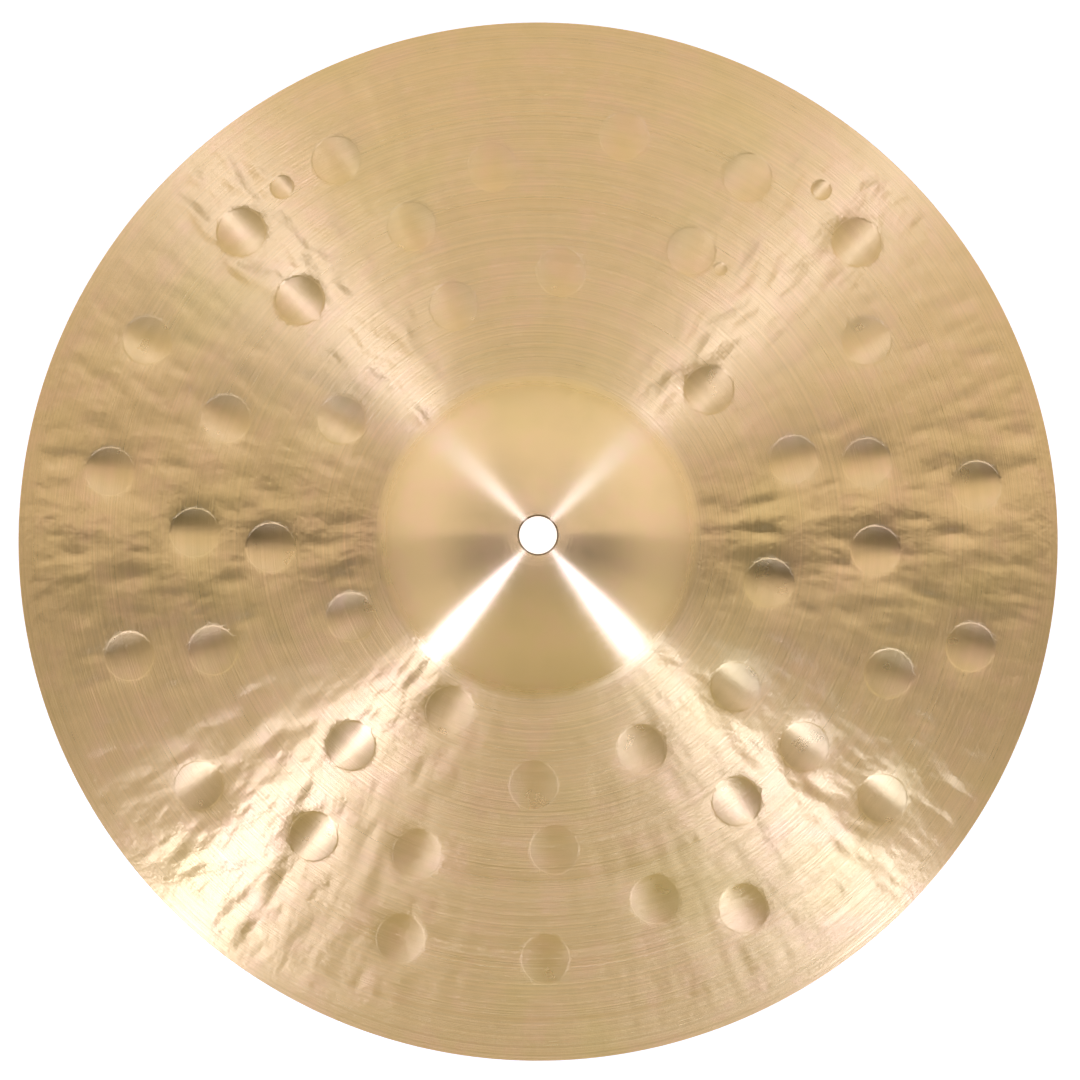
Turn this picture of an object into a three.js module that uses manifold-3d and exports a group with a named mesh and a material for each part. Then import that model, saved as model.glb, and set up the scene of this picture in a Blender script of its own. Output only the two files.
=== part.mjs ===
// A hammered and lathed bronze cymbal, 14 inches across, with a raised bell and a mounting hole.
// Millimetres. +Z runs up through the bell, and the origin is the centre of the plane the rim stands on.
//
// The wall is a surface of revolution built from three tangent arcs: the bell, the fillet at its
// foot, and the bow. Each large hammer mark is a shallow dish in the top and a lower dome beneath it.

import * as THREE from 'three';
import { mergeVertices } from 'three/addons/utils/BufferGeometryUtils.js';
import Module from 'manifold-3d';

// Driving dimensions.
const OUTER_DIAMETER = 355.6;
const HOLE_DIAMETER = 12.7;
const BELL_DIAMETER = 112.8;
const SEAT_DIAMETER = 19;
const CROWN_THICKNESS = 1.6;
const RIM_THICKNESS = 0.9;

// Radii of the arcs that make the wall's top face.
const BELL_RADIUS = 84.5;
const FILLET_RADIUS = 8;
const BOW_RADIUS = 750;

// Small edges: the chamfers of the hole and rim, and the flat ring that the rim stands on.
const HOLE_CHAMFER = 0.4;
const RIM_CHAMFER = 0.2;
const FOOT_WIDTH = 0.4;

// One large hammer mark: the radius of its edge, its depth in the top and its dome underneath.
const MARK_RADIUS = 8.5;
const MARK_DEPTH = 0.55;
const DOME_HEIGHT = 0.35;

// The marks of each ring, as [distance from the axis, bearing in degrees from +X towards +Y].
const OUTER_MARKS = [
  [151, 7], [131, 31], [149, 43], [143, 60], [141, 78], [128, 97], [147, 118],
  [146, 134], [150, 153], [148, 171], [145, 196], [143, 216], [127, 233], [144, 251],
  [143, 271], [129, 288], [144, 299], [147, 323], [128, 339], [152, 346],
];
const MIDDLE_MARKS = [
  [115, 13], [111, 62], [115, 112], [115, 135], [114, 159], [117, 179], [117, 199],
  [95, 228], [115, 249], [106, 273], [112, 307], [115, 322], [115, 358],
];
const INNER_MARKS = [
  [91, 17], [77, 41], [91, 85], [84, 110], [78, 149], [91, 182],
  [69, 203], [66, 243], [84, 269], [80, 296], [84, 323], [80, 349],
];

// How finely the round shapes are cut.
const TURN_SEGMENTS = 64;
const BELL_STEPS = 5;
const FILLET_STEPS = 3;
const BOW_STEPS = 4;
const MARK_SEGMENTS = 12;

const BRONZE_COLOUR = 0xc79a5b;

const outerRadius = OUTER_DIAMETER / 2;
const holeRadius = HOLE_DIAMETER / 2;
const footRadius = outerRadius - RIM_CHAMFER - FOOT_WIDTH;

// The unit normal of the wall where it leans outwards by this angle, in the (radius, height) plane.
const normalAt = (lean) => new THREE.Vector2(Math.sin(lean), Math.cos(lean));

// The wall thins evenly from the crown to the ring it stands on.
const thicknessAt = (radius) => (
  THREE.MathUtils.lerp(CROWN_THICKNESS, RIM_THICKNESS, Math.min(radius / footRadius, 1))
);

// Each arc's centre follows from the one outside it, starting at the ring the rim stands on.
const bowCentre = new THREE.Vector2(0, -Math.sqrt((BOW_RADIUS - RIM_THICKNESS) ** 2 - footRadius ** 2));
const bowStart = Math.asin(BELL_DIAMETER / 2 / BOW_RADIUS);
const filletCentre = bowCentre.clone().addScaledVector(normalAt(bowStart), BOW_RADIUS + FILLET_RADIUS);
const filletStart = Math.asin(filletCentre.x / (BELL_RADIUS + FILLET_RADIUS));
const bellCentre = filletCentre.clone().addScaledVector(
  normalAt(filletStart),
  -(BELL_RADIUS + FILLET_RADIUS),
);
const bellStart = Math.asin(SEAT_DIAMETER / 2 / BELL_RADIUS);

// The arcs from the seat out to the rim. The fillet is hollow, so its radius is negative.
const wallArcs = (bowEnd) => [
  { centre: bellCentre, radius: BELL_RADIUS, from: bellStart, to: filletStart, steps: BELL_STEPS },
  { centre: filletCentre, radius: -FILLET_RADIUS, from: filletStart, to: bowStart, steps: FILLET_STEPS },
  { centre: bowCentre, radius: BOW_RADIUS, from: bowStart, to: bowEnd, steps: BOW_STEPS },
];

// Points along the wall, at a depth below its top face that may change with the radius.
function wallPoints(bowEnd, depthAt) {
  const points = [];
  wallArcs(bowEnd).forEach((arc, index) => {
    const first = index === 0 ? 0 : 1;
    for (let step = first; step <= arc.steps; step += 1) {
      const normal = normalAt(THREE.MathUtils.lerp(arc.from, arc.to, step / arc.steps));
      const point = arc.centre.clone().addScaledVector(normal, arc.radius);
      points.push(point.addScaledVector(normal, -depthAt(point.x)));
    }
  });
  return points;
}

// The closed outline of half the cymbal's section, from the hole out over the top and back beneath.
function sectionOutline() {
  const topEnd = Math.asin((outerRadius - RIM_CHAMFER) / BOW_RADIUS);
  const footEnd = Math.asin(footRadius / (BOW_RADIUS - RIM_THICKNESS));
  const top = wallPoints(topEnd, () => 0);
  const under = wallPoints(footEnd, thicknessAt).reverse();
  const seatHeight = top[0].y;
  const underSeatHeight = under[under.length - 1].y;
  const rimHeight = top[top.length - 1].y;
  const outline = [
    new THREE.Vector2(holeRadius, seatHeight - HOLE_CHAMFER),
    new THREE.Vector2(holeRadius + HOLE_CHAMFER, seatHeight),
    ...top,
    new THREE.Vector2(outerRadius, rimHeight - RIM_CHAMFER),
    new THREE.Vector2(outerRadius, RIM_CHAMFER),
    new THREE.Vector2(outerRadius - RIM_CHAMFER, 0),
    ...under,
    new THREE.Vector2(holeRadius + HOLE_CHAMFER, underSeatHeight),
    new THREE.Vector2(holeRadius, underSeatHeight + HOLE_CHAMFER),
  ];
  return [...outline, outline[0].clone()].reverse();
}

// A body turned about +Z from an outline of (radius, height) points.
function turned(outline, segments) {
  return new THREE.LatheGeometry(outline, segments).rotateX(Math.PI / 2);
}

// A closed dish tool whose face is part of a sphere: it passes through the wall's face at
// MARK_RADIUS, is deepest on its axis, and runs a little past the face before its back closes it.
function dishOutline(depth, overlap, back) {
  const sphere = (MARK_RADIUS ** 2 + depth ** 2) / (2 * depth);
  const edge = Math.sqrt(sphere ** 2 - (sphere - depth - overlap) ** 2);
  const halfway = edge / 2;
  const halfwayHeight = sphere - depth - Math.sqrt(sphere ** 2 - halfway ** 2);
  return [
    new THREE.Vector2(0, -depth),
    new THREE.Vector2(halfway, halfwayHeight),
    new THREE.Vector2(edge, overlap),
    new THREE.Vector2(edge, back),
    new THREE.Vector2(0, back),
  ];
}

// Places a tool on the bow, with its axis along the wall's normal, at a depth below the top face.
function onBow(geometry, [distance, bearing], depth) {
  const lean = Math.asin(distance / BOW_RADIUS);
  const point = bowCentre.clone().addScaledVector(normalAt(lean), BOW_RADIUS - depth);
  const placed = new THREE.Object3D();
  placed.rotation.set(0, lean, THREE.MathUtils.degToRad(bearing), 'ZYX');
  placed.position.set(point.x, 0, point.y);
  placed.position.applyAxisAngle(new THREE.Vector3(0, 0, 1), placed.rotation.z);
  placed.updateMatrix();
  return geometry.clone().applyMatrix4(placed.matrix);
}

const wasm = await Module();
wasm.setup();

// A closed geometry as a solid: shared corners are merged and collapsed triangles left out.
function solidOf(geometry) {
  const plain = geometry.clone();
  plain.deleteAttribute('normal');
  plain.deleteAttribute('uv');
  const merged = mergeVertices(plain);
  const index = merged.index.array;
  const triVerts = [];
  for (let i = 0; i < index.length; i += 3) {
    const [a, b, c] = [index[i], index[i + 1], index[i + 2]];
    if (a !== b && b !== c && c !== a) triVerts.push(a, b, c);
  }
  return new wasm.Manifold(new wasm.Mesh({
    numProp: 3,
    vertProperties: new Float32Array(merged.attributes.position.array),
    triVerts: new Uint32Array(triVerts),
  }));
}

function geometryOf(solid) {
  const mesh = solid.getMesh();
  const geometry = new THREE.BufferGeometry();
  geometry.setAttribute('position', new THREE.BufferAttribute(mesh.vertProperties, 3));
  geometry.setIndex(new THREE.BufferAttribute(mesh.triVerts, 1));
  geometry.computeVertexNormals();
  return geometry;
}

// How far a tool runs past the wall's face, where its back closes above the top, and how far
// inside the wall the back of a dome stays.
const TOOL_OVERLAP = 0.15;
const DISH_BACK = 1.5;
const DOME_BACK = 0.2;

function hammeredCymbal() {
  const dish = turned(dishOutline(MARK_DEPTH, TOOL_OVERLAP, DISH_BACK), MARK_SEGMENTS);
  const dome = turned(dishOutline(DOME_HEIGHT, TOOL_OVERLAP, DOME_BACK), MARK_SEGMENTS);
  let body = solidOf(turned(sectionOutline(), TURN_SEGMENTS));
  for (const mark of [...OUTER_MARKS, ...MIDDLE_MARKS, ...INNER_MARKS]) {
    body = body.add(solidOf(onBow(dome, mark, thicknessAt(mark[0]))));
    body = body.subtract(solidOf(onBow(dish, mark, 0)));
  }
  return geometryOf(body);
}

const part = new THREE.Group();
const bronze = new THREE.MeshStandardMaterial({ color: BRONZE_COLOUR, metalness: 1, roughness: 0.32 });
const cymbal = new THREE.Mesh(hammeredCymbal(), bronze);
cymbal.name = 'cymbal';
part.add(cymbal);

export default part;
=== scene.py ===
"""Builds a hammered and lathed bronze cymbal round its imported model, and the studio it lies in."""

import math

import bpy
import numpy as np
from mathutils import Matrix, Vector, geometry


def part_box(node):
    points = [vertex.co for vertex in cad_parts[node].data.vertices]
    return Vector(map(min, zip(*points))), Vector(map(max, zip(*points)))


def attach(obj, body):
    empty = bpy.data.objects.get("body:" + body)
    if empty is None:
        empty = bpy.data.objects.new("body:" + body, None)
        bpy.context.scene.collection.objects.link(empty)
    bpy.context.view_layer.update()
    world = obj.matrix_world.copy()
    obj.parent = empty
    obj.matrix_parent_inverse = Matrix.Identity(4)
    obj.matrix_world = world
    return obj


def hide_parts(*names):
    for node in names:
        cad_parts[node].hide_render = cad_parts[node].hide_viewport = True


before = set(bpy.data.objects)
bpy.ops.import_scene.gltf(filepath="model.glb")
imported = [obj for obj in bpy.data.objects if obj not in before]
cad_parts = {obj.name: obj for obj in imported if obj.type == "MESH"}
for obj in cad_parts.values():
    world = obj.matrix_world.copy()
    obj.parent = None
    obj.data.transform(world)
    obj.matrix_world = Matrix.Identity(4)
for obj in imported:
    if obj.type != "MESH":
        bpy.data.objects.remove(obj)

bl_info = {
    "name": "Hammered Cymbal",
    "version": (1, 0, 0),
    "blender": (4, 5, 0),
    "location": "3D View > Sidebar > Cymbal",
    "description": "Makes a hammered and lathed bronze cymbal and a plain studio for it",
    "category": "Add Mesh",
}

NODE = "cymbal"
BODY = "root"
MM = 0.001

CAD_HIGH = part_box(NODE)[1]
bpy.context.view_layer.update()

# The large hammer marks of each ring, as (distance from the axis in mm, bearing in degrees).
OUTER_MARKS = (
    (151, 7), (131, 31), (149, 43), (143, 60), (141, 78), (128, 97), (147, 118),
    (146, 134), (150, 153), (148, 171), (145, 196), (143, 216), (127, 233), (144, 251),
    (143, 271), (129, 288), (144, 299), (147, 323), (128, 339), (152, 346),
)
MIDDLE_MARKS = (
    (115, 13), (111, 62), (115, 112), (115, 135), (114, 159), (117, 179), (117, 199),
    (95, 228), (115, 249), (106, 273), (112, 307), (115, 322), (115, 358),
)
INNER_MARKS = (
    (91, 17), (77, 41), (91, 85), (84, 110), (78, 149), (91, 182),
    (69, 203), (66, 243), (84, 269), (80, 296), (84, 323), (80, 349),
)
# Slips of the hammer's edge: (distance in mm, bearing in degrees, radius in mm).
SLIP_MARKS = ((149, 126, 4.0), (154, 51, 3.4), (111, 56, 2.2))

# Reach of the soft peen marks and of the smaller ones, smallest and largest.
PEEN_REACHES = (1.5 * MM, 3.0 * MM)
FLECK_REACHES = (0.8 * MM, 1.6 * MM)
# How many times longer a peen mark reaches along the radius than across it.
PEEN_STRETCH = 2.0
# Rings of peen marks, in spacings: from the bell's edge and from the rim, and the marks' scatter.
PEEN_START = 0.8
PEEN_STOP = 0.4
PEEN_SCATTER = 0.35
# A higher power makes fewer of the peen marks deep.
PEEN_DEPTH_POWER = 1.6
# The share of its radial reach by which a peen mark keeps clear of a crisp mark.
PEEN_CLEARANCE = 0.9
# How many reaches out a mark's or peen mark's sink is worked out.
REACHES_OUT = 5.0
# The dome under a crisp mark: height and reach as shares of the mark's radius.
DOME_HEIGHT = 0.045
DOME_REACH = 0.9
# Half the width over which a crisp mark's mask runs out.
MASK_BLEND = 0.12 * MM

# Slow waves of the bow: (waves in a turn, depth, starting angle in radians), and how they grow.
SLOW_WAVES = ((5, 0.10 * MM, 0.4), (9, 0.07 * MM, 2.1), (16, 0.04 * MM, 4.0))
WAVE_GROWTH = 30.0 * MM
# Where the peening and the waves have died out inside the foot ring, and over what width they do.
FADE_INSET = 1.0 * MM
FADE_WIDTH = 6.0 * MM

# Points round the hole's and the rim's circles, where the patches of the mesh meet.
HOLE_POINTS = 96
RIM_POINTS = 768
# Steps in the quarter circle of a rounded edge.
ROUND_STEPS = 4
# Points round a mark's edge, and the rings that carry them: the edge itself first, then beside it.
EDGE_POINTS = 20
EDGE_RINGS = (0.0, -0.5 * MM, -0.25 * MM, 0.35 * MM)
# Points on each ring of a mark's floor, and the rings' shares of the mark's radius.
FLOOR_POINTS = 5
FLOOR_RINGS = (0.84, 0.68, 0.5, 0.32, 0.15)
# The net between the marks keeps this far off their edges.
NET_CLEARANCE = 1.1 * MM
# Rings of the net, in spacings: from the inner circle, from the outer one, and from each other.
NET_START = 0.8
NET_STOP = 0.5
NET_STEP = 0.9
# The share of a step by which each ring of the net is turned against the last.
GOLDEN_SHARE = 0.618
# Places in one cell of this grid become one vertex.
WELD_GRID = 0.002 * MM
# The share of the map's height that each face takes, and where the underside and the top begin.
MAP_SHARE = 0.49
MAP_UNDER = 0.005
MAP_TOP = 0.505

# Ranges of the noise over which the bronze turns rosy and sallow.
ROSY_RANGE = (0.45, 0.68)
SALLOW_RANGE = (0.5, 0.75)
# Radii over which the bell's finish gives way to the bow's.
FINISH_CHANGE = (46.0 * MM, 60.0 * MM)
# Painted shade round the hole: a dark ring in the colour that stands in for the dark reflection in the
# hole's rounded edge. The radii over which it ends, and its shade.
PAINTED_HOLE_SHADE_RADII = (6.7 * MM, 7.1 * MM)
PAINTED_HOLE_SHADE = 0.30
# How deep the lines of the lathe are on the bell, and in a mark, against the bow.
BELL_LINE_SHARE = 0.25
MARK_LINE_LOSS = 0.5
# Brightness: its level, how far blotches, rings and comb lines spread it, and the bow's loss.
SHADE_LEVEL = 0.98
BLOTCH_SPREAD = 0.16
RING_SPREAD = 0.10
COMB_SPREAD = 0.26
BOW_SHADE_LOSS = 0.085
# The bow's further loss of green and of blue.
BOW_GREEN_LOSS = 0.04
BOW_BLUE_LOSS = 0.17
# How far blotches and comb lines spread the roughness, and a mark's loss of it.
BLOTCH_ROUGHNESS = 0.04
COMB_ROUGHNESS = 0.14
MARK_ROUGHNESS_LOSS = 0.02


# ---------------------------------------------------------------- sizes and colours


class CymbalForm(bpy.types.PropertyGroup):
    """The turned form of the disc. The rim's radius and the crown's height come from the frame."""

    hole_radius: bpy.props.FloatProperty(
        name="Hole radius", description="Radius of the mounting hole",
        default=6.35 * MM, unit="LENGTH",
    )
    hole_round: bpy.props.FloatProperty(
        name="Hole rounding", description="Radius of the hole's rounded edges",
        default=0.5 * MM, unit="LENGTH",
    )
    seat_softness: bpy.props.FloatProperty(
        name="Seat softness", description="How gently the flat seat runs into the bell",
        default=0.12 * MM, unit="LENGTH",
    )
    bell_edge: bpy.props.FloatProperty(
        name="Bell edge", description="Distance from the axis where the bell's foot meets the bow",
        default=56.4 * MM, unit="LENGTH",
    )
    bell_radius: bpy.props.FloatProperty(
        name="Bell radius", description="Radius of the bell's dome",
        default=84.5 * MM, unit="LENGTH",
    )
    fillet_radius: bpy.props.FloatProperty(
        name="Fillet radius", description="Radius of the hollow at the bell's foot",
        default=8.0 * MM, unit="LENGTH",
    )
    bow_radius: bpy.props.FloatProperty(
        name="Bow radius", description="Radius of the broad bow", default=750.0 * MM, unit="LENGTH"
    )
    crown_thickness: bpy.props.FloatProperty(
        name="Crown thickness", description="Thickness of the wall at the hole",
        default=1.6 * MM, unit="LENGTH",
    )
    rim_thickness: bpy.props.FloatProperty(
        name="Rim thickness", description="Thickness of the wall at the rim",
        default=0.9 * MM, unit="LENGTH",
    )
    rim_rounding: bpy.props.FloatProperty(
        name="Rim rounding", description="Radius of the rim's rounded edges",
        default=0.3 * MM, unit="LENGTH",
    )
    foot_inset: bpy.props.FloatProperty(
        name="Foot inset", description="How far inside the rim the underside leaves the floor",
        default=0.6 * MM, unit="LENGTH",
    )


class HammerForm(bpy.types.PropertyGroup):
    """The hammer marks: crisp round dishes, and the soft peening all over the bow."""

    mark_radius: bpy.props.FloatProperty(
        name="Mark radius", description="Radius of a large mark", default=8.5 * MM, unit="LENGTH"
    )
    mark_lean: bpy.props.FloatProperty(
        name="Mark lean", description="Slope of a mark's dish at its edge",
        default=math.radians(6.9), unit="ROTATION",
    )
    edge_depth: bpy.props.FloatProperty(
        name="Edge depth", description="Height of the small step at a mark's edge",
        default=0.012 * MM, unit="LENGTH",
    )
    edge_width: bpy.props.FloatProperty(
        name="Edge width", description="Width of the small step at a mark's edge",
        default=0.5 * MM, unit="LENGTH",
    )
    basin_lean: bpy.props.FloatProperty(
        name="Basin lean", description="Slope of the metal just outside a mark",
        default=math.radians(4.0), unit="ROTATION",
    )
    basin_reach: bpy.props.FloatProperty(
        name="Basin reach", description="Distance over which that slope falls to a third",
        default=5.5 * MM, unit="LENGTH",
    )
    peen_depth: bpy.props.FloatProperty(
        name="Peen depth", description="Depth of the deepest soft peen marks",
        default=0.145 * MM, unit="LENGTH",
    )
    peen_spacing: bpy.props.FloatProperty(
        name="Peen spacing", description="Distance between the soft peen marks",
        default=8.0 * MM, unit="LENGTH",
    )
    fleck_depth: bpy.props.FloatProperty(
        name="Fleck depth", description="Depth of the deepest small peen marks",
        default=0.06 * MM, unit="LENGTH",
    )
    fleck_spacing: bpy.props.FloatProperty(
        name="Fleck spacing", description="Distance between the small peen marks",
        default=4.6 * MM, unit="LENGTH",
    )
    peen_seed: bpy.props.IntProperty(
        name="Peen seed", description="Picks another scatter of peen marks", default=14
    )
    top_spacing: bpy.props.FloatProperty(
        name="Top mesh spacing", description="Distance between the points of the top's mesh",
        default=1.3 * MM, unit="LENGTH",
    )
    under_spacing: bpy.props.FloatProperty(
        name="Underside mesh spacing", description="Distance between the points of the underside's mesh",
        default=3.0 * MM, unit="LENGTH",
    )


class BronzeFinish(bpy.types.PropertyGroup):
    """The lathed bronze."""

    bronze: bpy.props.FloatVectorProperty(
        name="Bronze", description="Colour of clean turned bronze",
        default=(0.92, 0.63, 0.315), size=3, subtype="COLOR", min=0.0, max=1.0,
    )
    rosy: bpy.props.FloatVectorProperty(
        name="Rosy bronze", description="Colour where copper shows through",
        default=(0.92, 0.605, 0.325), size=3, subtype="COLOR", min=0.0, max=1.0,
    )
    sallow: bpy.props.FloatVectorProperty(
        name="Sallow bronze", description="Colour where the tin shows through",
        default=(0.89, 0.63, 0.29), size=3, subtype="COLOR", min=0.0, max=1.0,
    )
    bell_roughness: bpy.props.FloatProperty(
        name="Bell roughness", description="Roughness of the brushed bell",
        default=0.25, min=0.0, max=1.0,
    )
    bow_roughness: bpy.props.FloatProperty(
        name="Bow roughness", description="Roughness of the lathed bow",
        default=0.30, min=0.0, max=1.0,
    )
    groove_depth: bpy.props.FloatProperty(
        name="Groove depth", description="Depth of the lathe tool's grooves",
        default=0.040 * MM, unit="LENGTH",
    )
    line_depth: bpy.props.FloatProperty(
        name="Line depth", description="Depth of the broader lines of the lathe",
        default=0.10 * MM, unit="LENGTH",
    )
    pit_depth: bpy.props.FloatProperty(
        name="Pit depth", description="Depth of the small unevenness of the hammered metal",
        default=0.05 * MM, unit="LENGTH",
    )


class StudioLook(bpy.types.PropertyGroup):
    """The studio: camera, floor and soft light."""

    elevation: bpy.props.FloatProperty(
        name="Elevation", description="The camera's angle above the floor",
        default=math.radians(87.5), unit="ROTATION",
    )
    distance: bpy.props.FloatProperty(
        name="Distance", description="From the camera to the cymbal", default=2.5, unit="LENGTH"
    )
    frame_width: bpy.props.FloatProperty(
        name="Frame width", description="Width of the view at the cymbal",
        default=0.3695, unit="LENGTH",
    )
    aside: bpy.props.FloatProperty(
        name="Aside", description="How far the view's middle lies to the right of the axis",
        default=0.65 * MM, unit="LENGTH",
    )


# ---------------------------------------------------------------- the disc's surfaces


def smooth_step(value):
    """The cubic 3v^2 - 2v^3 of a value held between 0 and 1, and its slope."""
    held = np.clip(value, 0.0, 1.0)
    return held * held * (3.0 - 2.0 * held), 6.0 * held * (1.0 - held)


class TurnedSection:
    """The section of the disc's top: height and slope as functions of the distance from the axis.

    Three arcs meet tangentially: a dome about a point low on the axis, a hollow fillet, and the
    bow about a point far below. Near the hole the dome gives way to a flat seat.
    """

    def __init__(self, form):
        self.form = form
        self.rim = CAD_HIGH.x
        self.foot = self.rim - form.foot_inset
        bow, fillet, bell = form.bow_radius, form.fillet_radius, form.bell_radius
        self.bow_z = -math.sqrt((bow - form.rim_thickness) ** 2 - self.foot ** 2)
        lean = math.asin(form.bell_edge / bow)
        self.fillet_r = (bow + fillet) * math.sin(lean)
        self.fillet_z = self.bow_z + (bow + fillet) * math.cos(lean)
        self.bell_z = self.fillet_z - math.sqrt((bell + fillet) ** 2 - self.fillet_r ** 2)
        self.bell_end = self.fillet_r * bell / (bell + fillet)
        self.seat_z = CAD_HIGH.z
        self.rim_round = form.rim_rounding
        self.rim_lean = math.asin((self.rim - self.rim_round) / (bow - self.rim_round))
        self.rim_start = bow * math.sin(self.rim_lean)
        edge = bow - self.rim_round
        self.rim_centre = (edge * math.sin(self.rim_lean), self.bow_z + edge * math.cos(self.rim_lean))
        self.foot_start = self.foot * bow / (bow - form.rim_thickness)

    def top(self, radius):
        """Height and slope of the top face, each an array like radius."""
        form = self.form
        bell_drop = np.sqrt(np.maximum(form.bell_radius ** 2 - radius ** 2, 1e-9))
        away = radius - self.fillet_r
        fillet_drop = np.sqrt(np.maximum(form.fillet_radius ** 2 - away ** 2, 1e-9))
        bow_drop = np.sqrt(form.bow_radius ** 2 - radius ** 2)
        on_bell = radius < self.bell_end
        on_fillet = (radius >= self.bell_end) & (radius < form.bell_edge)
        height = np.select(
            [on_bell, on_fillet],
            [self.bell_z + bell_drop, self.fillet_z - fillet_drop],
            self.bow_z + bow_drop,
        )
        slopes = [-radius / bell_drop, away / fillet_drop]
        slope = np.select([on_bell, on_fillet], slopes, -radius / bow_drop)
        over = (height - self.seat_z) / form.seat_softness
        share = 1.0 / (1.0 + np.exp(np.clip(over, -60.0, 60.0)))
        eased = self.seat_z - form.seat_softness * np.logaddexp(0.0, -over)
        return eased, slope * share

    def thickness(self, radius):
        """The wall thins evenly from the crown to the foot ring."""
        share = np.minimum(radius / self.foot, 1.0)
        return self.form.crown_thickness + (self.form.rim_thickness - self.form.crown_thickness) * share


def marks_table():
    """Centres and radii of the crisp marks, in metres: columns x, y and radius."""
    large = np.array([*OUTER_MARKS, *MIDDLE_MARKS, *INNER_MARKS], float)
    large = np.column_stack([large, np.full(len(large), bpy.context.scene.hammer_form.mark_radius / MM)])
    rows = np.vstack([large, np.array(SLIP_MARKS, float)])
    bearing = np.radians(rows[:, 1])
    return np.column_stack([rows[:, 0] * np.cos(bearing), rows[:, 0] * np.sin(bearing), rows[:, 2]]) * MM


def peens_table(section, spacing, deepest, reaches, seed):
    """Soft peen marks scattered about rings: columns x, y, depth, radial reach and sideways reach.

    The depth is the deepest one times a power of an even chance, so few marks are deep.
    """
    chance = np.random.default_rng(seed)
    start = section.form.bell_edge + spacing * PEEN_START
    rings = np.arange(start, section.rim - spacing * PEEN_STOP, spacing)
    counts = np.round(2.0 * np.pi * rings / spacing).astype(int)
    ring = np.repeat(rings, counts)
    place = np.arange(len(ring)) - np.repeat(np.cumsum(counts) - counts, counts)
    turn = 2.0 * np.pi * place / np.repeat(counts, counts)
    ring = ring + chance.normal(0.0, PEEN_SCATTER, len(ring)) * spacing
    turn = turn + chance.normal(0.0, PEEN_SCATTER, len(ring)) * spacing / ring
    depth = deepest * chance.uniform(0.0, 1.0, len(ring)) ** PEEN_DEPTH_POWER
    reach = chance.uniform(*reaches, len(ring))
    return np.column_stack([ring * np.cos(turn), ring * np.sin(turn), depth, reach * PEEN_STRETCH, reach])


def clear_of_marks(peens, marks):
    """The peen marks whose middles lie clear of every crisp mark by most of their radial reach."""
    away = np.hypot(peens[:, :1] - marks[:, 0], peens[:, 1:2] - marks[:, 1])
    return peens[(away > marks[:, 2] + peens[:, 3:4] * PEEN_CLEARANCE).all(axis=1)]


def mark_sink(points, marks, hammer):
    """How far the crisp marks sink the face at each point, the sink's gradient, and a mask.

    Inside its edge a mark is a shallow bowl, depth times one minus the squared share of its
    radius, with a small smooth step down at the edge. The basin sinks the whole mark by its
    slope times its reach, and outside falls off as exp of minus the distance from the edge over
    that reach. The mask is 1 inside a mark.
    """
    sink = np.zeros(len(points))
    gradient = np.zeros((len(points), 2))
    mask = np.zeros(len(points))
    for x, y, radius in marks:
        limit = radius + REACHES_OUT * hammer.basin_reach
        near = np.flatnonzero(np.hypot(points[:, 0] - x, points[:, 1] - y) < limit)
        across = points[near] - (x, y)
        away = np.hypot(across[:, 0], across[:, 1])
        outward = across / np.maximum(away, 1e-9)[:, None]
        scale = radius / hammer.mark_radius
        bowl = 0.5 * radius * math.tan(hammer.mark_lean)
        inside = np.clip((radius + MASK_BLEND - away) / (2.0 * MASK_BLEND), 0.0, 1.0)
        step, step_slope = smooth_step((radius - away) / hammer.edge_width)
        beyond = np.maximum(away - radius, 0.0) / hammer.basin_reach
        basin = math.tan(hammer.basin_lean) * hammer.basin_reach * scale * np.exp(-beyond)
        sink[near] += bowl * np.maximum(1.0 - (away / radius) ** 2, 0.0) + hammer.edge_depth * step + basin
        rate = -2.0 * bowl * away / radius ** 2 * inside
        rate -= hammer.edge_depth * step_slope / hammer.edge_width
        rate -= basin / hammer.basin_reach * (1.0 - inside)
        gradient[near] += rate[:, None] * outward
        mask[near] = np.maximum(mask[near], inside)
    return sink, gradient, mask


def peen_sink(points, peens):
    """How far the soft peen marks sink the face, and the sink's gradient.

    Each is a two-way bell curve: depth times exp of minus half the squared distances along and
    across the radius through its middle, each over its own reach.
    """
    sink = np.zeros(len(points))
    gradient = np.zeros((len(points), 2))
    for x, y, depth, along, aside in peens:
        away = np.abs(points[:, 0] - x) + np.abs(points[:, 1] - y)
        near = np.flatnonzero(away < REACHES_OUT * along)
        radial = np.array([x, y]) / math.hypot(x, y)
        sideways = np.array([-radial[1], radial[0]])
        across = points[near] - (x, y)
        u = across @ radial / along
        v = across @ sideways / aside
        dip = depth * np.exp(-0.5 * (u * u + v * v))
        sink[near] += dip
        gradient[near] -= dip[:, None] * (u[:, None] * radial / along + v[:, None] * sideways / aside)
    return sink, gradient


def warp_sink(points, section):
    """Slow waves of the bow: sines of a few whole numbers of turns, growing from the bell's edge."""
    radius = np.hypot(points[:, 0], points[:, 1])
    turn = np.arctan2(points[:, 1], points[:, 0])
    grow, grow_slope = smooth_step((radius - section.form.bell_edge) / WAVE_GROWTH)
    sideways = np.column_stack([-points[:, 1], points[:, 0]]) / radius[:, None] ** 2
    outward = points / radius[:, None]
    sink = np.zeros(len(points))
    gradient = np.zeros((len(points), 2))
    for waves, depth, phase in SLOW_WAVES:
        wave = depth * np.sin(waves * turn + phase)
        swing = depth * waves * np.cos(waves * turn + phase)
        sink += wave * grow
        gradient += (swing * grow)[:, None] * sideways
        gradient += (wave * grow_slope / WAVE_GROWTH)[:, None] * outward
    return sink, gradient


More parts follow.
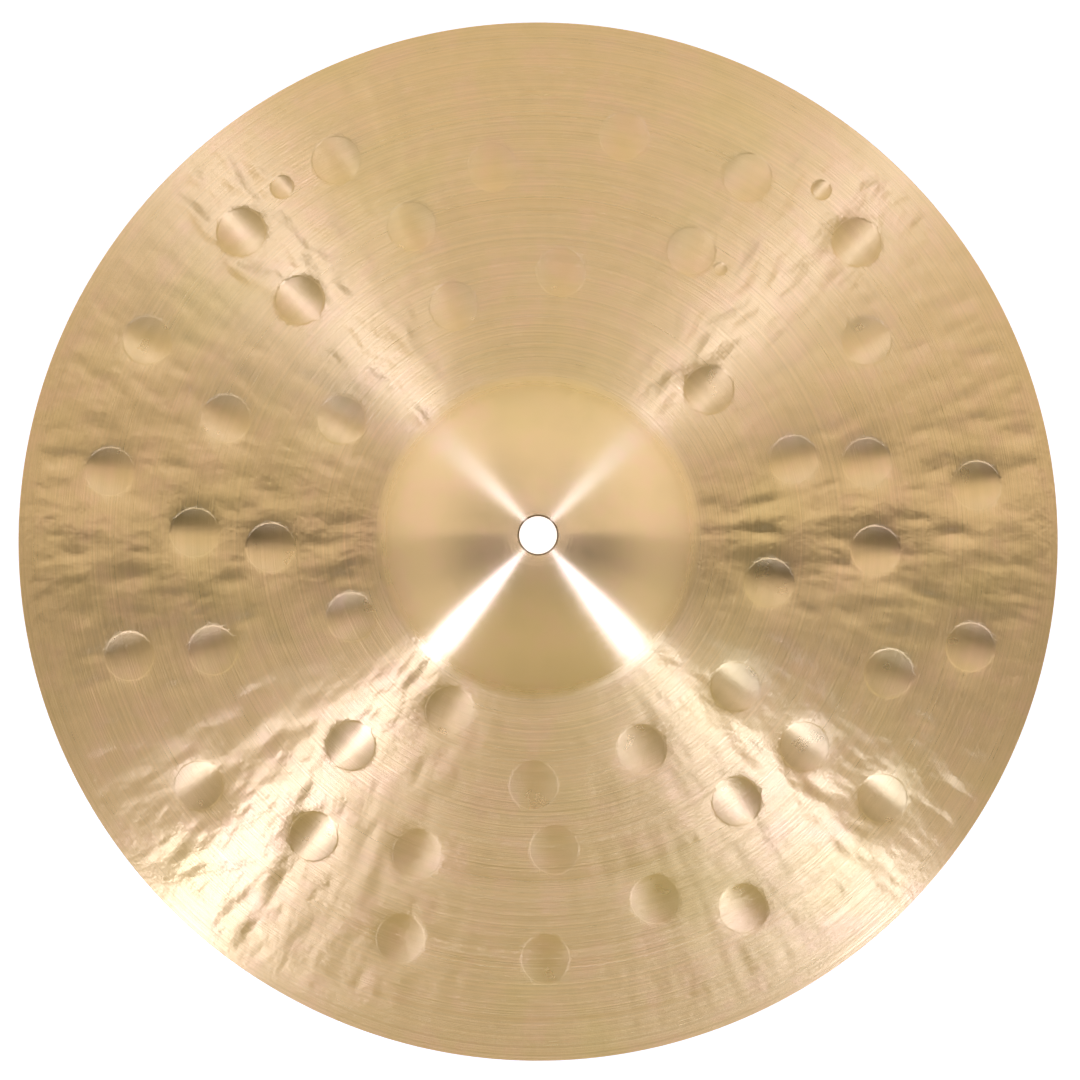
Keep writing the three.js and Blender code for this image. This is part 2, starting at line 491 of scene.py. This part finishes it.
def fade_at_rim(points, section):
    """1 on the bow, falling smoothly to 0 a little inside the foot ring, and its gradient."""
    radius = np.hypot(points[:, 0], points[:, 1])
    share, slope = smooth_step((section.foot - FADE_INSET - radius) / FADE_WIDTH)
    return share, (-slope / FADE_WIDTH)[:, None] * points / radius[:, None]


def ring_points(radius, count, offset=0.0, centre=(0.0, 0.0)):
    """Points evenly spaced round a circle."""
    turn = 2.0 * np.pi * (np.arange(count) + offset) / count
    return np.column_stack([centre[0] + radius * np.cos(turn), centre[1] + radius * np.sin(turn)])


def closed_edges(start, count):
    """Edges that join count points in a ring."""
    index = np.arange(count)
    return np.column_stack([start + index, start + (index + 1) % count])


def plan_mesh(inner, outer, spacing, marks):
    """A flat net of triangles between two circles, with an edge along every mark's rim.

    Points lie on rings a little under a spacing apart, each turned by the golden share of a step
    for every ring before it, and on finer rings about each mark. A Delaunay triangulation joins
    them, held to the circles and the marks' rims. Returns points and triangles.
    """
    chunks = [ring_points(inner, HOLE_POINTS), ring_points(outer, RIM_POINTS)]
    edges = [closed_edges(0, HOLE_POINTS), closed_edges(HOLE_POINTS, RIM_POINTS)]
    for x, y, radius in marks:
        edges.append(closed_edges(sum(len(chunk) for chunk in chunks), EDGE_POINTS))
        for aside in EDGE_RINGS:
            chunks.append(ring_points(radius + aside, EDGE_POINTS, 0.0, (x, y)))
        for share in FLOOR_RINGS:
            chunks.append(ring_points(radius * share, FLOOR_POINTS, 0.5, (x, y)))
        chunks.append(np.array([[x, y]]))
    rows = np.arange(inner + spacing * NET_START, outer - spacing * NET_STOP, spacing * NET_STEP)
    counts = np.round(2.0 * np.pi * rows / spacing).astype(int)
    net = np.vstack([ring_points(r, n, i * GOLDEN_SHARE) for i, (r, n) in enumerate(zip(rows, counts))])
    clear = np.ones(len(net), bool)
    for x, y, radius in marks:
        clear &= np.hypot(net[:, 0] - x, net[:, 1] - y) > radius + NET_CLEARANCE
    chunks.append(net[clear])
    points = np.vstack(chunks) / MM
    made = geometry.delaunay_2d_cdt(
        [Vector(p) for p in points.tolist()], np.vstack(edges).tolist(), [], 0, 1e-5, False
    )
    flat = np.array([tuple(p) for p in made[0]]) * MM
    faces = np.array(made[2])
    middle = flat[faces].mean(axis=1)
    return flat, faces[np.hypot(middle[:, 0], middle[:, 1]) > inner]


def top_patch(section, marks, peens):
    """The top face: the turned section, sunk by the marks, the peening and the slow waves."""
    hammer = bpy.context.scene.hammer_form
    inner = section.form.hole_radius + section.form.hole_round
    plan, faces = plan_mesh(inner, section.rim_start, hammer.top_spacing, marks)
    radius = np.hypot(plan[:, 0], plan[:, 1])
    height, slope = section.top(radius)
    sink, gradient, mask = mark_sink(plan, marks, hammer)
    soft, soft_gradient = peen_sink(plan, peens)
    warp, warp_gradient = warp_sink(plan, section)
    fade, fade_gradient = fade_at_rim(plan, section)
    wave = soft + warp
    sink += wave * fade
    gradient += (soft_gradient + warp_gradient) * fade[:, None] + wave[:, None] * fade_gradient
    lean = slope[:, None] * plan / radius[:, None] - gradient
    normal = np.column_stack([-lean, np.ones(len(plan))])
    points = np.column_stack([plan, height - sink])
    return points, normal, faces, mask


def under_patch(section, marks, peens):
    """The underside: the turned top offset along its normal by the wall, then sunk.

    It follows the waves and the larger peen marks, and has a soft dome under every crisp mark.
    """
    hammer = bpy.context.scene.hammer_form
    inner = section.form.hole_radius + section.form.hole_round
    plan, faces = plan_mesh(inner, section.foot_start, hammer.under_spacing, marks[:0])
    radius = np.hypot(plan[:, 0], plan[:, 1])
    height, slope = section.top(radius)
    outward = plan / radius[:, None]
    upright = 1.0 / np.sqrt(1.0 + slope ** 2)
    wall = section.thickness(radius)
    reach = marks[:, 2] * DOME_REACH
    domes = np.column_stack([marks[:, :2], marks[:, 2] * DOME_HEIGHT, reach, reach])
    bulge, bulge_gradient = peen_sink(plan, domes)
    soft, soft_gradient = peen_sink(plan, peens)
    warp, warp_gradient = warp_sink(plan, section)
    fade, fade_gradient = fade_at_rim(plan, section)
    wave = bulge + soft + warp
    sink = wave * fade
    gradient = (bulge_gradient + soft_gradient + warp_gradient) * fade[:, None]
    gradient += wave[:, None] * fade_gradient
    lean = slope[:, None] * outward - gradient
    normal = np.column_stack([lean, -np.ones(len(plan))])
    moved = plan + outward * (wall * slope * upright)[:, None]
    points = np.column_stack([moved, height - wall * upright - sink])
    return points, normal, faces[:, ::-1], np.zeros(len(plan))


def band_patch(outline, leans, count):
    """A band turned about the axis from an outline of (radius, height) and its normals."""
    turn = 2.0 * np.pi * np.arange(count) / count
    cos, sin = np.cos(turn), np.sin(turn)
    radius, height = outline[:, 0][:, None], outline[:, 1][:, None]
    flat = np.ones_like(turn)
    points = np.stack([radius * cos, radius * sin, height * flat], axis=-1).reshape(-1, 3)
    out, up = leans[:, 0][:, None], leans[:, 1][:, None]
    normal = np.stack([out * cos, out * sin, up * flat], axis=-1).reshape(-1, 3)
    rows = np.arange(len(outline) - 1)[:, None] * count
    here = np.arange(count)[None, :]
    after = (here + 1) % count
    corners = [rows + here, rows + count + here, rows + count + after, rows + after]
    quads = np.stack(corners, axis=-1).reshape(-1, 4)
    return points, normal, np.vstack([quads[:, [0, 1, 2]], quads[:, [0, 2, 3]]])


def weld(points, normals, faces, masks):
    """One mesh from patches that meet at their edges: places in one grid cell become one vertex."""
    starts = np.cumsum([0] + [len(p) for p in points[:-1]])
    triangles = np.vstack([f + s for f, s in zip(faces, starts)])
    places, normals, masks = np.vstack(points), np.vstack(normals), np.concatenate(masks)
    keys = np.round(places / WELD_GRID).astype(np.int64)
    kept, back = np.unique(keys, axis=0, return_index=True, return_inverse=True)[1:]
    triangles = back.reshape(-1)[triangles]
    a, b, c = triangles.T
    triangles = triangles[(a != b) & (b != c) & (c != a)]
    places, normals, masks = places[kept], normals[kept], masks[kept]
    corners = places[triangles]
    facing = np.cross(corners[:, 1] - corners[:, 0], corners[:, 2] - corners[:, 0])
    turned = np.einsum("ij,ij->i", facing, normals[triangles].sum(axis=1)) < 0.0
    triangles[turned] = triangles[turned][:, ::-1]
    return places, normals / np.linalg.norm(normals, axis=1)[:, None], triangles, masks


def polar_map(places, triangles, normals):
    """Each corner's map place: bearing as a share of a turn, and distance, top above underside.

    A triangle across the start of the turn is carried past 1, so its bearing stays in one piece.
    """
    turn = np.arctan2(places[:, 1], places[:, 0]) / (2.0 * np.pi) % 1.0
    share = np.hypot(places[:, 0], places[:, 1]) / CAD_HIGH.x
    corner_turn = turn[triangles]
    across = np.ptp(corner_turn, axis=1) > 0.5
    low = across[:, None] & (corner_turn < 0.5)
    corner_turn = corner_turn + low
    above = normals[triangles][:, :, 2].mean(axis=1) > 0.0
    height = share[triangles] * MAP_SHARE + np.where(above, MAP_TOP, MAP_UNDER)[:, None]
    return np.stack([corner_turn, height], axis=-1).reshape(-1, 2)


def arc(centre, radius, start, stop, steps):
    """Outline points and normals round part of a circle; angles from the axis's direction."""
    angle = np.linspace(start, stop, steps + 1)
    leans = np.column_stack([np.sin(angle), np.cos(angle)])
    return np.array(centre) + radius * leans, leans


def rim_patch(section, count):
    """The rim: a rounded edge down from the top, a short wall, a rounded edge and the foot ring."""
    start, side = section.rim_lean, math.pi / 2.0
    up, up_leans = arc(section.rim_centre, section.rim_round, start, side, ROUND_STEPS)
    base = (section.rim - section.rim_round, section.rim_round)
    down, down_leans = arc(base, section.rim_round, side, math.pi, ROUND_STEPS)
    outline = np.vstack([up, down, [(section.foot, 0.0)]])
    leans = np.vstack([up_leans, down_leans, [(0.0, -1.0)]])
    return band_patch(outline, leans, count)


def hole_patch(section, low, high, count):
    """The hole's wall between two heights, with rounded edges above and below."""
    form = section.form
    middle = form.hole_radius + form.hole_round
    down, inward, up = math.pi, 1.5 * math.pi, 2.0 * math.pi
    below = arc((middle, low + form.hole_round), form.hole_round, down, inward, ROUND_STEPS)
    above = arc((middle, high - form.hole_round), form.hole_round, inward, up, ROUND_STEPS)
    outline = np.vstack([below[0], above[0]])
    leans = np.vstack([below[1], above[1]])
    return band_patch(outline, leans, count)


def cymbal_mesh(name):
    """The whole disc as one mesh with smooth normals, a polar map and a mark mask.

    Two seams keep hairline gaps, under 0.02 mm: the hole's lower edge, where the underside is set
    in by the seat's faint slope, and parts of the rim's top edge, which the marks' basins reach.
    """
    section = TurnedSection(bpy.context.scene.cymbal_form)
    marks = marks_table()
    hammer = bpy.context.scene.hammer_form
    seed = hammer.peen_seed
    peens = peens_table(section, hammer.peen_spacing, hammer.peen_depth, PEEN_REACHES, seed)
    flecks = peens_table(section, hammer.fleck_spacing, hammer.fleck_depth, FLECK_REACHES, seed + 1)
    peens = clear_of_marks(peens, marks)
    flecks = clear_of_marks(flecks, marks)
    top = top_patch(section, marks, np.vstack([peens, flecks]))
    under = under_patch(section, marks, peens)
    rim = rim_patch(section, RIM_POINTS)
    low = under[0][:HOLE_POINTS, 2].mean()
    high = top[0][:HOLE_POINTS, 2].mean()
    hole = hole_patch(section, low, high, HOLE_POINTS)
    patches = [top, under, (*rim, np.zeros(len(rim[0]))), (*hole, np.zeros(len(hole[0])))]
    places, normals, triangles, masks = weld(*zip(*patches))
    mesh = bpy.data.meshes.new(name)
    mesh.from_pydata(places, [], triangles)
    mesh.shade_smooth()
    mesh.normals_split_custom_set_from_vertices(normals)
    mesh.uv_layers.new(name="OFBake", do_init=False)
    layer = mesh.uv_layers["OFBake"]
    layer.uv.foreach_set("vector", polar_map(places, triangles, normals).astype(np.float32).ravel())
    mask = mesh.attributes.new("mark", "FLOAT", "POINT")
    mask.data.foreach_set("value", masks.astype(np.float32))
    return mesh


# ---------------------------------------------------------------- shader values


class Value:
    """A node's socket that arithmetic works on: each step adds one Math node to its tree."""

    def __init__(self, tree, socket=None):
        self.tree = tree
        self.socket = socket

    def node(self, kind, output, inputs, **settings):
        """Adds a node: its settings and a ramp's stops, then a constant or a link for each input."""
        made = self.tree.nodes.new(kind)
        stops = settings.pop("stops", None)
        for name, value in settings.items():
            setattr(made, name, value)
        if stops:
            while len(made.color_ramp.elements) < len(stops):
                made.color_ramp.elements.new(1.0)
            for element, (place, colour) in zip(made.color_ramp.elements, stops):
                element.position = place
                element.color = colour
        for key, value in inputs.items():
            if isinstance(value, Value):
                self.tree.links.new(value.socket, made.inputs[key])
            else:
                made.inputs[key].default_value = value
        return Value(self.tree, made.outputs[output])

    def math(self, operation, *others):
        """This value and the others through one Math node."""
        inputs = dict(enumerate((self, *others)))
        return self.node("ShaderNodeMath", 0, inputs, operation=operation)

    def between(self, low, high, start=0.0, stop=1.0):
        """A smooth change from start at low to stop at high."""
        inputs = {0: self, 1: low, 2: high, 3: start, 4: stop}
        return self.node("ShaderNodeMapRange", 0, inputs, interpolation_type="SMOOTHSTEP")

    def mix(self, first, second):
        """The first colour where this value is 0, the second where it is 1."""
        inputs = {0: self, 6: first, 7: second}
        return self.node("ShaderNodeMix", 2, inputs, data_type="RGBA")

    def noise(self, place, scale, detail=2.0, dimensions="3D", roughness=0.5):
        """A noise about 0.5 at a place: a vector, or in one dimension a number."""
        key = "W" if dimensions == "1D" else "Vector"
        inputs = {key: place, "Scale": scale, "Detail": detail, "Roughness": roughness}
        return self.node("ShaderNodeTexNoise", 0, inputs, noise_dimensions=dimensions)

    def __add__(self, other):
        return self.math("ADD", other)

    def __radd__(self, other):
        return self.math("ADD", other)

    def __sub__(self, other):
        return self.math("SUBTRACT", other)

    def __rsub__(self, other):
        return self.math("MULTIPLY", -1.0).math("ADD", other)

    def __mul__(self, other):
        return self.math("MULTIPLY", other)

    def __truediv__(self, other):
        return self.math("DIVIDE", other)


def bronze_material():
    """Lathed and hammered bronze: a metal whose highlights spread along the radius."""
    finish = bpy.context.scene.bronze_finish
    material = bpy.data.materials.new("hammered_lathed_bronze")
    material.use_nodes = True
    tree = material.node_tree
    tree.nodes.clear()
    start = Value(tree)
    place = start.node("ShaderNodeTexCoord", "Object", {})
    mark = start.node("ShaderNodeAttribute", "Fac", {}, attribute_name="mark")
    x = start.node("ShaderNodeSeparateXYZ", 0, {0: place})
    y = Value(tree, x.socket.node.outputs[1])
    radius = (x * x + y * y).math("SQRT")
    out = radius / MM
    bow = radius.between(*FINISH_CHANGE)
    lathed = bow * (1.0 - mark)

    # A noise's scale is per millimetre along the radius, and per metre in space.
    fine = start.noise(out, scale=9.0, detail=1.0, dimensions="1D")
    coarse = start.noise(out, scale=1.3, detail=2.0, dimensions="1D")
    pits = start.noise(place, scale=450.0, detail=3.0)
    height = fine * finish.groove_depth + coarse * finish.line_depth
    height = height * bow.between(0.0, 1.0, BELL_LINE_SHARE, 1.0) * (1.0 - mark * MARK_LINE_LOSS)
    height = height + pits * finish.pit_depth * lathed
    bump = start.node("ShaderNodeBump", 0, {"Height": height, "Distance": 1.0, "Strength": 1.0})

    blotch = start.noise(place, scale=95.0, detail=3.0)
    cloud = start.noise(place, scale=22.0, detail=2.0)
    ring = start.noise(out, scale=0.35, detail=3.0, dimensions="1D")
    comb = start.noise(out, scale=1.1, detail=3.0, dimensions="1D", roughness=0.7)
    colour = blotch.between(*ROSY_RANGE).mix((*finish.bronze, 1.0), (*finish.rosy, 1.0))
    colour = cloud.between(*SALLOW_RANGE).mix(colour, (*finish.sallow, 1.0))
    shade = SHADE_LEVEL + (blotch - 0.5) * BLOTCH_SPREAD + (ring - 0.5) * RING_SPREAD * bow
    shade = shade + (comb - 0.5) * COMB_SPREAD * lathed - bow * BOW_SHADE_LOSS
    # Painted shade: darken the colour in a ring round the hole, standing in for the dark reflection in its
    # rounded edge.
    shade = shade * radius.between(*PAINTED_HOLE_SHADE_RADII, PAINTED_HOLE_SHADE, 1.0)
    green = shade - bow * BOW_GREEN_LOSS
    blue = shade - bow * BOW_BLUE_LOSS
    tint = start.node("ShaderNodeCombineColor", 0, {0: shade, 1: green, 2: blue})
    colour = start.node(
        "ShaderNodeMix", 2, {0: 1.0, 6: colour, 7: tint}, data_type="RGBA", blend_type="MULTIPLY"
    )
    rough = bow.between(0.0, 1.0, finish.bell_roughness, finish.bow_roughness)
    rough = rough + (blotch - 0.5) * BLOTCH_ROUGHNESS + (comb - 0.45) * COMB_ROUGHNESS * lathed
    rough = rough - mark * MARK_ROUGHNESS_LOSS

    metal = start.node(
        "ShaderNodeBsdfPrincipled", 0,
        {"Base Color": colour, "Metallic": 1.0, "Roughness": rough, "Anisotropic": 1.0,
         "Anisotropic Rotation": 0.25, "Normal": bump},
    )
    shader = metal.socket.node
    around = start.node("ShaderNodeTangent", 0, {}, direction_type="RADIAL", axis="Z")
    tree.links.new(around.socket, shader.inputs["Tangent"])
    output = tree.nodes.new("ShaderNodeOutputMaterial")
    tree.links.new(metal.socket, output.inputs["Surface"])
    return material


# ---------------------------------------------------------------- the studio


# What hangs round the cymbal, placed by mirror slopes. Shades of the far side by height:
FAR_SIDE = (
    (0.05, 0.40), (0.18, 0.50), (0.32, 1.08), (0.52, 1.00), (0.66, 0.88), (0.85, 0.45),
)
# and of the near side, between its two strips of light:
NEAR_SIDE = (
    (0.10, 0.10), (0.18, 0.36), (0.28, 0.56), (0.42, 0.68), (0.52, 0.68), (0.66, 0.52),
    (0.85, 0.30),
)
# The change from one side to the other.
HORIZON = (-0.012, 0.012)
# Wings beside both sides: where they begin aside, where they end in height, and their shade.
NEAR_WINGS = ((0.24, 0.40), (-0.50, -0.30), 0.95)
FAR_WINGS = ((0.22, 0.36), (0.34, 0.46), 1.12)
# The outermost edges: where they begin aside, where their shade changes, and both shades.
EDGES = ((0.52, 0.88), (-0.2, 0.2), 0.10, 0.52)
# Plain panels overhead: left, right, near and far edges, softness and brightness.
PANELS = (
    (-0.16, -0.05, 0.14, 0.27, 0.04, 0.36),
    (0.05, 0.15, 0.13, 0.25, 0.04, 0.34),
    (-0.05, 0.05, 0.12, 0.22, 0.04, 0.60),
    (-0.30, -0.12, 0.02, 0.15, 0.04, 0.30),
    (0.12, 0.28, 0.00, 0.14, 0.04, 0.50),
    (-0.34, 0.37, -0.145, 0.010, 0.012, 0.0),
    (-0.08, 0.10, -0.012, 0.10, 0.015, 1.60),
)
# The strips of light: bearing in degrees, nearest and farthest reach, half width and colour.
STRIPS = (
    (47.0, 0.06, 0.28, 0.10, (1.9, 2.3, 4.0)),
    (133.0, 0.06, 0.28, 0.10, (2.2, 2.6, 4.6)),
    (47.0, 0.28, 0.60, 0.09, (1.05, 1.20, 1.70)),
    (134.0, 0.28, 0.60, 0.09, (1.10, 1.25, 1.80)),
    (227.5, 0.13, 0.76, 0.088, (4.1, 4.9, 9.0)),
    (311.5, 0.13, 0.76, 0.088, (4.1, 5.1, 9.6)),
)
# How soft a strip's sides are, as a share of its half width, and its ends.
STRIP_SIDE_SOFT = 0.4
STRIP_END_SOFT = 0.04

# What the cymbal lies over, as (name, radius, height, glow): the pad shows through the hole.
STAGE_DISCS = (
    ("pale_floor", 3.0, -0.05 * MM, 0.42),
    ("light_pad", 12.0 * MM, 0.4 * MM, 1.0),
)
STAGE_COLOUR = (0.9, 0.9, 0.9)
# Points round the edge of each of them.
STAGE_POINTS = 96
# The height above the floor that the camera aims at.
AIM_HEIGHT = 0.6 * MM
# How far the camera sees.
FAR_CLIP = 20.0


def room_tone(level):
    """The colour of a plain part of the studio, with its alpha: the brighter, the bluer."""
    return (level, level, level * (1.0 + 0.5 * (level - 1.0)), 1.0)


def room_side(height, shades):
    """The colours of one side of the studio, blended between its shades by height."""
    stops = [(place, room_tone(level)) for place, level in shades]
    return height.node("ShaderNodeValToRGB", 0, {0: height}, stops=stops)


def window(value, low, high, soft):
    """1 where a value lies between two edges, 0 outside, with soft edges."""
    return value.between(low - soft, low + soft) * value.between(high - soft, high + soft, 1.0, 0.0)


def studio_world():
    """Soft surroundings as a metal disc sees them, worked out in the plane of mirror slopes.

    A direction (x, y, z) is what a face of slopes x / (1 + z) and y / (1 + z) mirrors to a
    camera straight above, and the camera's lean moves the second slope by half its angle. The
    far side is bright and the near side dimmer, with wings beside both. Plain panels hang
    overhead, and strips of light stand in the four corners.
    """
    world = bpy.context.scene.world or bpy.data.worlds.new("studio")
    bpy.context.scene.world = world
    world.use_nodes = True
    tree = world.node_tree
    tree.nodes.clear()
    start = Value(tree)
    way = start.node("ShaderNodeTexCoord", "Generated", {})
    x = start.node("ShaderNodeSeparateXYZ", 0, {0: way})
    y = Value(tree, x.socket.node.outputs[1])
    z = Value(tree, x.socket.node.outputs[2])
    lean = math.pi / 2.0 - bpy.context.scene.studio_look.elevation
    # The lower limit keeps the slopes finite straight below.
    high = (z + 1.0).math("MAXIMUM", 0.05)
    u = x / high
    v = y / high - math.tan(lean / 2.0)
    aside = u.math("ABSOLUTE")

    far = room_side(v, FAR_SIDE)
    near = room_side(v * -1.0, NEAR_SIDE)
    begin, finish, level = NEAR_WINGS
    near = (aside.between(*begin) * v.between(*finish)).mix(near, room_tone(level))
    begin, finish, level = FAR_WINGS
    far = (aside.between(*begin) * v.between(*finish, 1.0, 0.0)).mix(far, room_tone(level))
    room = v.between(*HORIZON).mix(near, far)
    begin, change, near_level, far_level = EDGES
    edges = v.between(*change).mix(room_tone(near_level), room_tone(far_level))
    room = aside.between(*begin).mix(room, edges)

    for left, right, bottom, top, soft, level in PANELS:
        panel = window(u, left, right, soft) * window(v, bottom, top, soft)
        room = panel.mix(room, room_tone(level))
    for bearing, nearest, farthest, half, colour in STRIPS:
        cos, sin = math.cos(math.radians(bearing)), math.sin(math.radians(bearing))
        along = u * cos + v * sin
        across = (v * cos - u * sin).math("ABSOLUTE")
        ratio = across / along.math("MAXIMUM", 0.001)
        inner, outer = half * (1.0 - STRIP_SIDE_SOFT), half * (1.0 + STRIP_SIDE_SOFT)
        length = window(along, nearest, farthest, STRIP_END_SOFT)
        room = (ratio.between(inner, outer, 1.0, 0.0) * length).mix(room, (*colour, 1.0))
    back = start.node("ShaderNodeBackground", 0, {"Color": room, "Strength": 1.0})
    output = tree.nodes.new("ShaderNodeOutputWorld")
    tree.links.new(back.socket, output.inputs["Surface"])


def plain_material(name, colour, glow):
    """A plain matt surface with an even glow."""
    material = bpy.data.materials.new(name)
    material.use_nodes = True
    shader = material.node_tree.nodes["Principled BSDF"]
    shader.inputs["Base Color"].default_value = (*colour, 1.0)
    shader.inputs["Roughness"].default_value = 1.0
    shader.inputs["Specular IOR Level"].default_value = 0.0
    shader.inputs["Emission Color"].default_value = (1.0, 1.0, 1.0, 1.0)
    shader.inputs["Emission Strength"].default_value = glow
    return material


def stage_disc(name, radius, height, material):
    """A flat disc that belongs to the stage."""
    rim = ring_points(radius, STAGE_POINTS)
    places = np.column_stack([rim, np.full(STAGE_POINTS, height)])
    mesh = bpy.data.meshes.new(name)
    mesh.from_pydata(places, [], [tuple(range(STAGE_POINTS))])
    mesh.materials.append(material)
    disc = bpy.data.objects.new(name, mesh)
    bpy.context.collection.objects.link(disc)


def studio_camera():
    """A long lens almost straight above the cymbal."""
    look = bpy.context.scene.studio_look
    camera = bpy.data.cameras.new("studio_camera")
    camera.lens = camera.sensor_width * look.distance / look.frame_width
    camera.clip_end = FAR_CLIP
    viewer = bpy.data.objects.new("studio_camera", camera)
    bpy.context.collection.objects.link(viewer)
    target = Vector((look.aside, 0.0, AIM_HEIGHT))
    away = Vector((0.0, -math.cos(look.elevation), math.sin(look.elevation)))
    viewer.location = target + look.distance * away
    viewer.rotation_euler = away.to_track_quat("Z", "Y").to_euler()
    bpy.context.scene.camera = viewer


# ---------------------------------------------------------------- operators and panel


class CYMBAL_OT_disc(bpy.types.Operator):
    """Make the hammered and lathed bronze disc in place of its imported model"""

    bl_idname = "cymbal.disc"
    bl_label = "Bronze Disc"

    def execute(self, context):
        mesh = cymbal_mesh("bronze_cymbal")
        mesh.materials.append(bronze_material())
        disc = bpy.data.objects.new("bronze_cymbal", mesh)
        context.collection.objects.link(disc)
        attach(disc, BODY)
        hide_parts(NODE)
        return {"FINISHED"}


class CYMBAL_OT_studio(bpy.types.Operator):
    """Make the floor, the surroundings and the camera"""

    bl_idname = "cymbal.studio"
    bl_label = "Studio"

    def execute(self, context):
        studio_world()
        for name, radius, height, glow in STAGE_DISCS:
            stage_disc(name, radius, height, plain_material(name, STAGE_COLOUR, glow))
        studio_camera()
        context.scene.view_settings.view_transform = "Standard"
        return {"FINISHED"}


class CYMBAL_PT_panel(bpy.types.Panel):
    """Lists the cymbal's sizes and makers"""

    bl_idname = "CYMBAL_PT_panel"
    bl_label = "Cymbal"
    bl_space_type = "VIEW_3D"
    bl_region_type = "UI"
    bl_category = "Cymbal"

    def draw(self, context):
        for name, kind in GROUPS.items():
            box = self.layout.box()
            for prop in kind.__annotations__:
                box.prop(getattr(context.scene, name), prop)
        for operator in OPERATORS:
            self.layout.operator(operator.bl_idname)


GROUPS = {
    "cymbal_form": CymbalForm,
    "hammer_form": HammerForm,
    "bronze_finish": BronzeFinish,
    "studio_look": StudioLook,
}
OPERATORS = (CYMBAL_OT_disc, CYMBAL_OT_studio)


def register():
    """Register the classes and hang each property group on the scene."""
    for kind in (*GROUPS.values(), *OPERATORS, CYMBAL_PT_panel):
        bpy.utils.register_class(kind)
    for name, kind in GROUPS.items():
        setattr(bpy.types.Scene, name, bpy.props.PointerProperty(type=kind))


def unregister():
    """Undo register, in reverse."""
    for name in GROUPS:
        delattr(bpy.types.Scene, name)
    for kind in reversed((*GROUPS.values(), *OPERATORS, CYMBAL_PT_panel)):
        bpy.utils.unregister_class(kind)


def main():
    """Make everything."""
    register()
    bpy.ops.cymbal.disc()
    bpy.ops.cymbal.studio()


if __name__ == "__main__":
    main()
